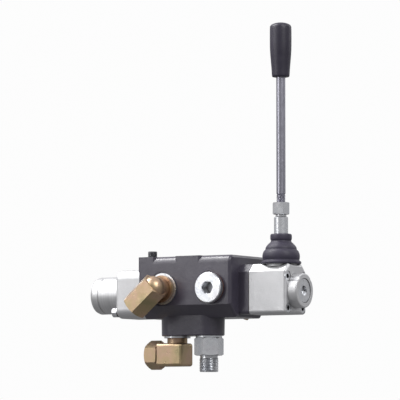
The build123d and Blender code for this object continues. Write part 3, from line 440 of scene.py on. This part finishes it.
FINISHES = {
    black_enamel: ["valve_body"],
    cast_aluminium: ["lever_housing", "spring_housing"],
    turned_aluminium: ["detent_cap"],
    bright_zinc: [
        "lever_lock_nut", "lever_stub", "spring_housing_screws", "lever_housing_screws",
        "port_plug", "cylinder_nipple", "tank_elbow_seal", "inlet_elbow_seal",
        "work_port_seals", "lever_housing_plug",
    ],
    drawn_steel: ["lever_rod"],
    ground_steel: [
        "spool", "spool_stud", "pivot_pin", "spring_collar", "centering_spring_washer",
        "detent_ring", "relief_seat", "relief_poppet", "check_poppet", "detent_balls",
        "centering_spring_inner", "centering_spring_outer", "relief_spring", "check_spring",
        "detent_spring",
    ],
    black_steel: ["check_plug", "relief_adjusting_screw"],
    yellow_zinc: ["tank_elbow", "work_port_elbow", "work_port_elbow_nut", "inlet_elbow"],
    black_rubber: ["lever_boot", "spool_seals", "spool_wiper"],
    grip_plastic: ["lever_grip"],
    gasket_fibre: ["lever_housing_gasket", "spring_housing_gasket"],
    copper_ring: ["port_plug_seal"],
}


def finish_cad_nodes():
    """Give every CAD node its material, and return the materials by their functions' names."""
    made = {}
    for make, names in FINISHES.items():
        made[make.__name__] = make()
        for name in names:
            mesh = frame["nodes"][name].data
            mesh.materials.clear()
            mesh.materials.append(made[make.__name__])
    return made


# ---- pieces made here ----------------------------------------------------------------------
SEGMENTS = 72                # points round a turned piece, a multiple of six for hexagons' corners
SHARP = math.radians(28)
WELD = 1e-7

G38_R = 8.33 * MM            # G3/8 pipe thread
G_DEPTH, G_PITCH = 0.8 * MM, 1.337 * MM
M8_DEPTH, M8_PITCH = 0.6 * MM, 1.25 * MM
STUB_DEPTH, STUB_PITCH = 0.5 * MM, 1.0 * MM
STEPS_PER_TURN = 8           # rings to a turn of thread
THREAD_FLAT = 0.1            # share of half a pitch taken by the crest, and by the root
THREAD_END_SLOPE = 1.2       # the thread's depth runs out at this slope at a chamfered end
HEX_CHAMFER = math.radians(30)
HEX_STEPS = 5                # rings to a hexagon's chamfer
NEARLY_ALONG = 0.9           # cosine above which an axis counts as lying along Y


def make_piece(name, vertices, faces, material):
    """A mesh object with outward normals, smooth except at its sharp edges."""
    mesh = bpy.data.meshes.new(name)
    mesh.from_pydata(vertices, [], faces)
    build = bmesh.new()
    build.from_mesh(mesh)
    bmesh.ops.remove_doubles(build, verts=build.verts, dist=WELD)
    bmesh.ops.dissolve_degenerate(build, edges=build.edges, dist=WELD)
    bmesh.ops.recalc_face_normals(build, faces=build.faces)
    build.to_mesh(mesh)
    build.free()
    mesh.shade_smooth()
    mesh.set_sharp_from_angle(angle=SHARP)
    mesh.materials.append(material)
    piece = bpy.data.objects.new(name, mesh)
    bpy.context.scene.collection.objects.link(piece)
    return piece


def ring_stack(name, centre, axis, rings, material, loop=False, start=0.0):
    """Skin a stack of rings about an axis. A ring is (height, radius), and its radius may be a
    function of the angle. A loop joins its last ring to its first; otherwise both ends are closed
    to a point. The first point of each ring is turned by start, in radians."""
    up = Vector(axis).normalized()
    reference = Y if abs(up.dot(Y)) < NEARLY_ALONG else X
    side = reference.cross(up).normalized()
    across = up.cross(side)
    vertices, faces = [], []
    for height, radius in rings:
        for i in range(SEGMENTS):
            angle = 2 * math.pi * i / SEGMENTS
            r = radius(angle) if callable(radius) else radius
            turn = angle + start
            offset = side * (r * math.cos(turn)) + across * (r * math.sin(turn)) + up * height
            vertices.append(centre + offset)
    count = len(rings)
    for j in range(count if loop else count - 1):
        below, above = j * SEGMENTS, (j + 1) % count * SEGMENTS
        for i in range(SEGMENTS):
            k = (i + 1) % SEGMENTS
            faces.append((below + i, below + k, above + k, above + i))
    if not loop:
        for first, height in ((0, rings[0][0]), ((count - 1) * SEGMENTS, rings[-1][0])):
            vertices.append(centre + up * height)
            tip = len(vertices) - 1
            faces += [(first + i, first + (i + 1) % SEGMENTS, tip) for i in range(SEGMENTS)]
    return make_piece(name, vertices, faces, material)


def hexagon(across_flats, limit=math.inf):
    """Radius of a hexagon at an angle, cut off at a limiting radius."""
    def radius(angle):
        off_corner = (angle + math.pi / 6) % (math.pi / 3) - math.pi / 6
        return min(across_flats / 2 / math.cos(math.pi / 6 - abs(off_corner)), limit)
    return radius


def hex_rings(low, high, across_flats):
    """Rings of a hexagonal bar whose corners are turned down at both ends."""
    flat, corner = across_flats / 2, across_flats / math.sqrt(3)
    drop = (corner - flat) * math.tan(HEX_CHAMFER)
    shares = [n / HEX_STEPS for n in range(HEX_STEPS + 1)]
    ends = [(drop * t, hexagon(across_flats, flat + (corner - flat) * t)) for t in shares]
    rings = [(low + rise, radius) for rise, radius in ends]
    return rings + [(high - rise, radius) for rise, radius in reversed(ends)]


def thread_rings(low, high, crest, depth, pitch, chamfer_low=True, inside=False):
    """Rings of a right-hand thread between two heights: crest is the outer radius, or the hole's
    for a thread inside one. The high end is always chamfered."""
    count = max(2, round((high - low) / pitch * STEPS_PER_TURN))

    def radius_at(height):
        from_end = min(height - low if chamfer_low else depth, high - height)

        def radius(angle):
            place = (height / pitch - angle / (2 * math.pi)) % 1.0
            flank = (abs(2 * place - 1) - THREAD_FLAT) / (1 - 2 * THREAD_FLAT)
            cut = depth * min(1.0, max(0.0, flank))
            cut = max(cut, depth - from_end * THREAD_END_SLOPE)
            return crest - (depth - cut if inside else cut)
        return radius
    return [(h, radius_at(h)) for h in (low + (high - low) * n / count for n in range(count + 1))]


def corner_angle(node, centre):
    """Angle of a hexagonal CAD node's outermost point about an upright axis."""
    offsets = [v.co - centre for v in frame["nodes"][node].data.vertices]
    outermost = max(offsets, key=lambda offset: offset.xy.length)
    return math.atan2(outermost.y, outermost.x)


def upright_box(node):
    """A CAD node's box, and the point of its upright axis at height 0."""
    low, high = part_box(node)
    centre = box_centre(low, high)
    centre.z = 0
    return low, high, centre


def in_metres(outline, foot):
    """Rings for an outline of (height, radius) points in millimetres, from a foot in metres."""
    return [(foot + height * MM, radius * MM) for height, radius in outline]


def subdivided(piece):
    """Apply one level of subdivision surface to a piece."""
    piece.modifiers.new("smooth", "SUBSURF").levels = 1
    evaluated = piece.evaluated_get(bpy.context.evaluated_depsgraph_get())
    mesh = bpy.data.meshes.new_from_object(evaluated)
    piece.modifiers.clear()
    piece.data = mesh
    return piece


# Outlines are (height, radius) in millimetres, from the piece's foot.
BOOT_BEAD = [
    (0.0, 16.5), (0.35, 17.1), (1.3, 17.3), (2.1, 17.1), (2.5, 16.4), (3.0, 15.6), (3.6, 15.5),
]
BOOT_WALL = [                # bulges, folds in at 12.6 and bulges again
    (4.6, 15.9), (6.6, 16.1), (8.8, 15.8), (10.6, 15.1), (11.6, 14.4), (12.1, 13.6), (12.6, 13.3),
    (13.3, 13.4), (14.6, 13.0), (16.0, 12.0), (17.2, 10.8), (18.2, 9.7), (18.9, 8.9),
]
BOOT_COLLAR = [
    (19.8, 8.6), (20.4, 8.7), (20.8, 9.1), (21.6, 9.25), (24.4, 9.25), (25.3, 9.0), (25.85, 8.3),
]
BOOT_INSIDE = [              # back down from the collar's bore to the spigot
    (25.85, 6.7), (25.2, 6.15), (20.2, 6.15), (18.4, 7.4), (15.6, 10.2), (12.4, 12.2),
    (8.6, 14.2), (7.4, 14.3), (7.2, 14.1), (0.1, 14.1), (0.0, 14.4),
]


def add_boot(material):
    """Moulded boot: a bead on the housing's spigot, a wall with one fold, and a collar gripping
    the lever's stub."""
    low, high, centre = upright_box("lever_boot")
    outline = BOOT_BEAD + BOOT_WALL + BOOT_COLLAR + BOOT_INSIDE
    boot = ring_stack("boot", centre, Z, in_metres(outline, low.z), material, loop=True)
    subdivided(boot)
    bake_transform(boot)
    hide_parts("lever_boot")


GRIP_SKIN = [                # from the flat foot up the taper and over the domed top
    (0.0, 6.5), (0.25, 7.2), (0.9, 7.55), (2.5, 7.65), (8.0, 7.95), (16.0, 8.7), (23.0, 9.2),
    (28.0, 9.3), (38.0, 9.3), (42.6, 9.25), (43.9, 9.05), (44.7, 8.5), (45.5, 7.3), (46.3, 5.4),
    (46.8, 3.2), (46.98, 0.8),
]
GRIP_SOCKET_END = 0.2        # the socket is this much deeper than the rod reaches
GRIP_SOCKET_TIP = 0.3        # radius at which the socket's end closes
GRIP_SOCKET_LIP = (0.4, 0.3)         # height and width of the lip round the rod


def add_grip(material):
    """Tapered grip with a soft shoulder and a domed top, moulded on the rod's end."""
    low, _, centre = upright_box("lever_grip")
    rod_low, rod_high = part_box("lever_rod")
    rod_r = (rod_high.x - rod_low.x) / 2 / MM
    socket_top = (rod_high.z - low.z) / MM + GRIP_SOCKET_END
    lip_height, lip_width = GRIP_SOCKET_LIP
    socket = [
        (socket_top, GRIP_SOCKET_TIP), (socket_top, rod_r),
        (lip_height, rod_r), (0.0, rod_r + lip_width),
    ]
    rings = in_metres(socket + GRIP_SKIN, low.z)
    grip = subdivided(ring_stack("grip", centre, Z, rings, material))
    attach(grip, "lever")
    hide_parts("lever_grip")


ROD_THREAD = 7 * MM          # thread left showing above the nut
ROD_RUNOUT = 0.6 * MM        # from the thread's end to the full bar
ROD_FOOT = (0.5 * MM, 0.9)   # height of the chamfer, and the share of the radius at its end
ROD_TOP = (0.6 * MM, 0.85)


def add_rod(material):
    """Lever rod with its M8 thread showing above the lock nut."""
    low, high, centre = upright_box("lever_rod")
    radius = (high.x - low.x) / 2
    nut_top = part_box("lever_lock_nut")[1].z
    thread_top = nut_top + ROD_THREAD
    foot, foot_share = ROD_FOOT
    top, top_share = ROD_TOP
    rings = [(low.z, radius * foot_share), (low.z + foot, radius), (nut_top - foot, radius)]
    rings += thread_rings(nut_top, thread_top, radius, M8_DEPTH, M8_PITCH, chamfer_low=False)
    rings += [(thread_top + ROD_RUNOUT, radius), (high.z - top, radius)]
    rings += [(high.z, radius * top_share)]
    rod = ring_stack("rod", centre, Z, rings, material)
    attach(rod, "lever")
    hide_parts("lever_rod")


NIPPLE_BORE_R = 5.0 * MM
NIPPLE_FLATS = 22.0 * MM
NIPPLE_UNDERCUT = 2.0 * MM   # length of the plain neck between the thread and the hexagon


def add_nipple(material):
    """Straight nipple on the frame's origin: G3/8 thread below, hexagon, and its stud up in the
    body."""
    low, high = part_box("cylinder_nipple")
    centre = Vector((0, 0, 0))
    hex_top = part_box("work_port_seals")[0].z
    root_r = G38_R - G_DEPTH
    rings = [(low.z, NIPPLE_BORE_R), (low.z, root_r)]
    rings += thread_rings(low.z, -NIPPLE_UNDERCUT, G38_R, G_DEPTH, G_PITCH)
    rings += [(-NIPPLE_UNDERCUT, root_r), (0.0, root_r)]
    rings += hex_rings(0.0, hex_top, NIPPLE_FLATS)
    rings += [(hex_top, root_r), (high.z, root_r), (high.z, NIPPLE_BORE_R)]
    nipple = ring_stack("nipple", centre, Z, rings, material, loop=True,
                        start=corner_angle("cylinder_nipple", centre) + math.pi / 2)
    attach(nipple, "root")
    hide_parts("cylinder_nipple")


STUB_R = 4.1 * MM            # the relief screw's threaded stub above the body
STUB_SOCKET = 4.0 * MM
STUB_SOCKET_DEPTH = 3.5 * MM


def add_relief_screw(material):
    """Adjusting screw of the relief valve: a plug inside the body, a threaded stub and a hexagon
    socket."""
    low, high, centre = upright_box("relief_adjusting_screw")
    body_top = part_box("valve_body")[1].z
    plug_r = (high.x - low.x) / 2
    socket = hexagon(STUB_SOCKET)
    rings = [(low.z, plug_r), (body_top, plug_r), (body_top, STUB_R)]
    rings += thread_rings(body_top, high.z, STUB_R, STUB_DEPTH, STUB_PITCH, chamfer_low=False)
    rings += [(high.z, socket), (high.z - STUB_SOCKET_DEPTH, socket)]
    screw = ring_stack("relief_screw", centre, Z, rings, material)
    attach(screw, "relief_screw")
    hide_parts("relief_adjusting_screw")


SLEEVE_SKIN = 0.04 * MM      # least gap between a port's thread and the wall of its hole
SLEEVE_INSET = 0.3 * MM      # the sleeve stops short of the hole's mouth and bottom


def add_port_threads(material):
    """The internal threads of the open ports: a threaded sleeve in each."""
    for mount in frame["record"]["mounts"]:
        if mount["kind"] != "threaded_hole":
            continue
        radius = mount["dims"]["r_mm"] * MM
        first, last = SLEEVE_INSET, mount["dims"]["length_mm"] * MM - SLEEVE_INSET
        rings = thread_rings(first, last, radius - SLEEVE_SKIN, G_DEPTH, G_PITCH, inside=True)
        rings += [(last, radius - SLEEVE_SKIN / 2), (first, radius - SLEEVE_SKIN / 2)]
        mouth, inward = Vector(mount["pos_m"]), -Vector(mount["axis"])
        name = mount["name"] + "_thread"
        sleeve = ring_stack(name, mouth, inward, rings, material, loop=True)
        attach(sleeve, "root")


# spring, the piece that its moving end sits on, that piece's body, the spring's axis
SPRINGS = [
    ("centering_spring_inner", "spring_collar", "spool", X),
    ("centering_spring_outer", "spring_collar", "spool", X),
    ("relief_spring", "relief_poppet", "relief_poppet", Z),
    ("check_spring", "check_poppet", "check_poppet", Z),
]


def add_springs(material):
    """The working springs, each between the root and the piece it pushes: copies of their CAD
    nodes, in the shape they have at rest."""
    for node, seat, body, axis in SPRINGS:
        source = frame["nodes"][node]
        vertices = [source.matrix_world @ v.co for v in source.data.vertices]
        faces = [tuple(face.vertices) for face in source.data.polygons]
        coil = make_piece(node + "_coil", vertices, faces, material)
        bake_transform(coil)
        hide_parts(node)


# ---- scene ---------------------------------------------------------------------------------
add_camera(*cad_box)
add_world()
add_floor(cad_box[0][2] - FLOOR_DROP)
for softbox in SOFTBOXES:
    add_softbox(box_centre(*cad_box), *softbox)
bpy.context.scene.view_settings.view_transform = "Standard"
finishes = finish_cad_nodes()
add_boot(finishes["black_rubber"])
add_grip(finishes["grip_plastic"])
add_rod(finishes["drawn_steel"])
add_nipple(finishes["bright_zinc"])
add_relief_screw(finishes["black_steel"])
add_port_threads(finishes["yellow_zinc"])
add_springs(finishes["ground_steel"])
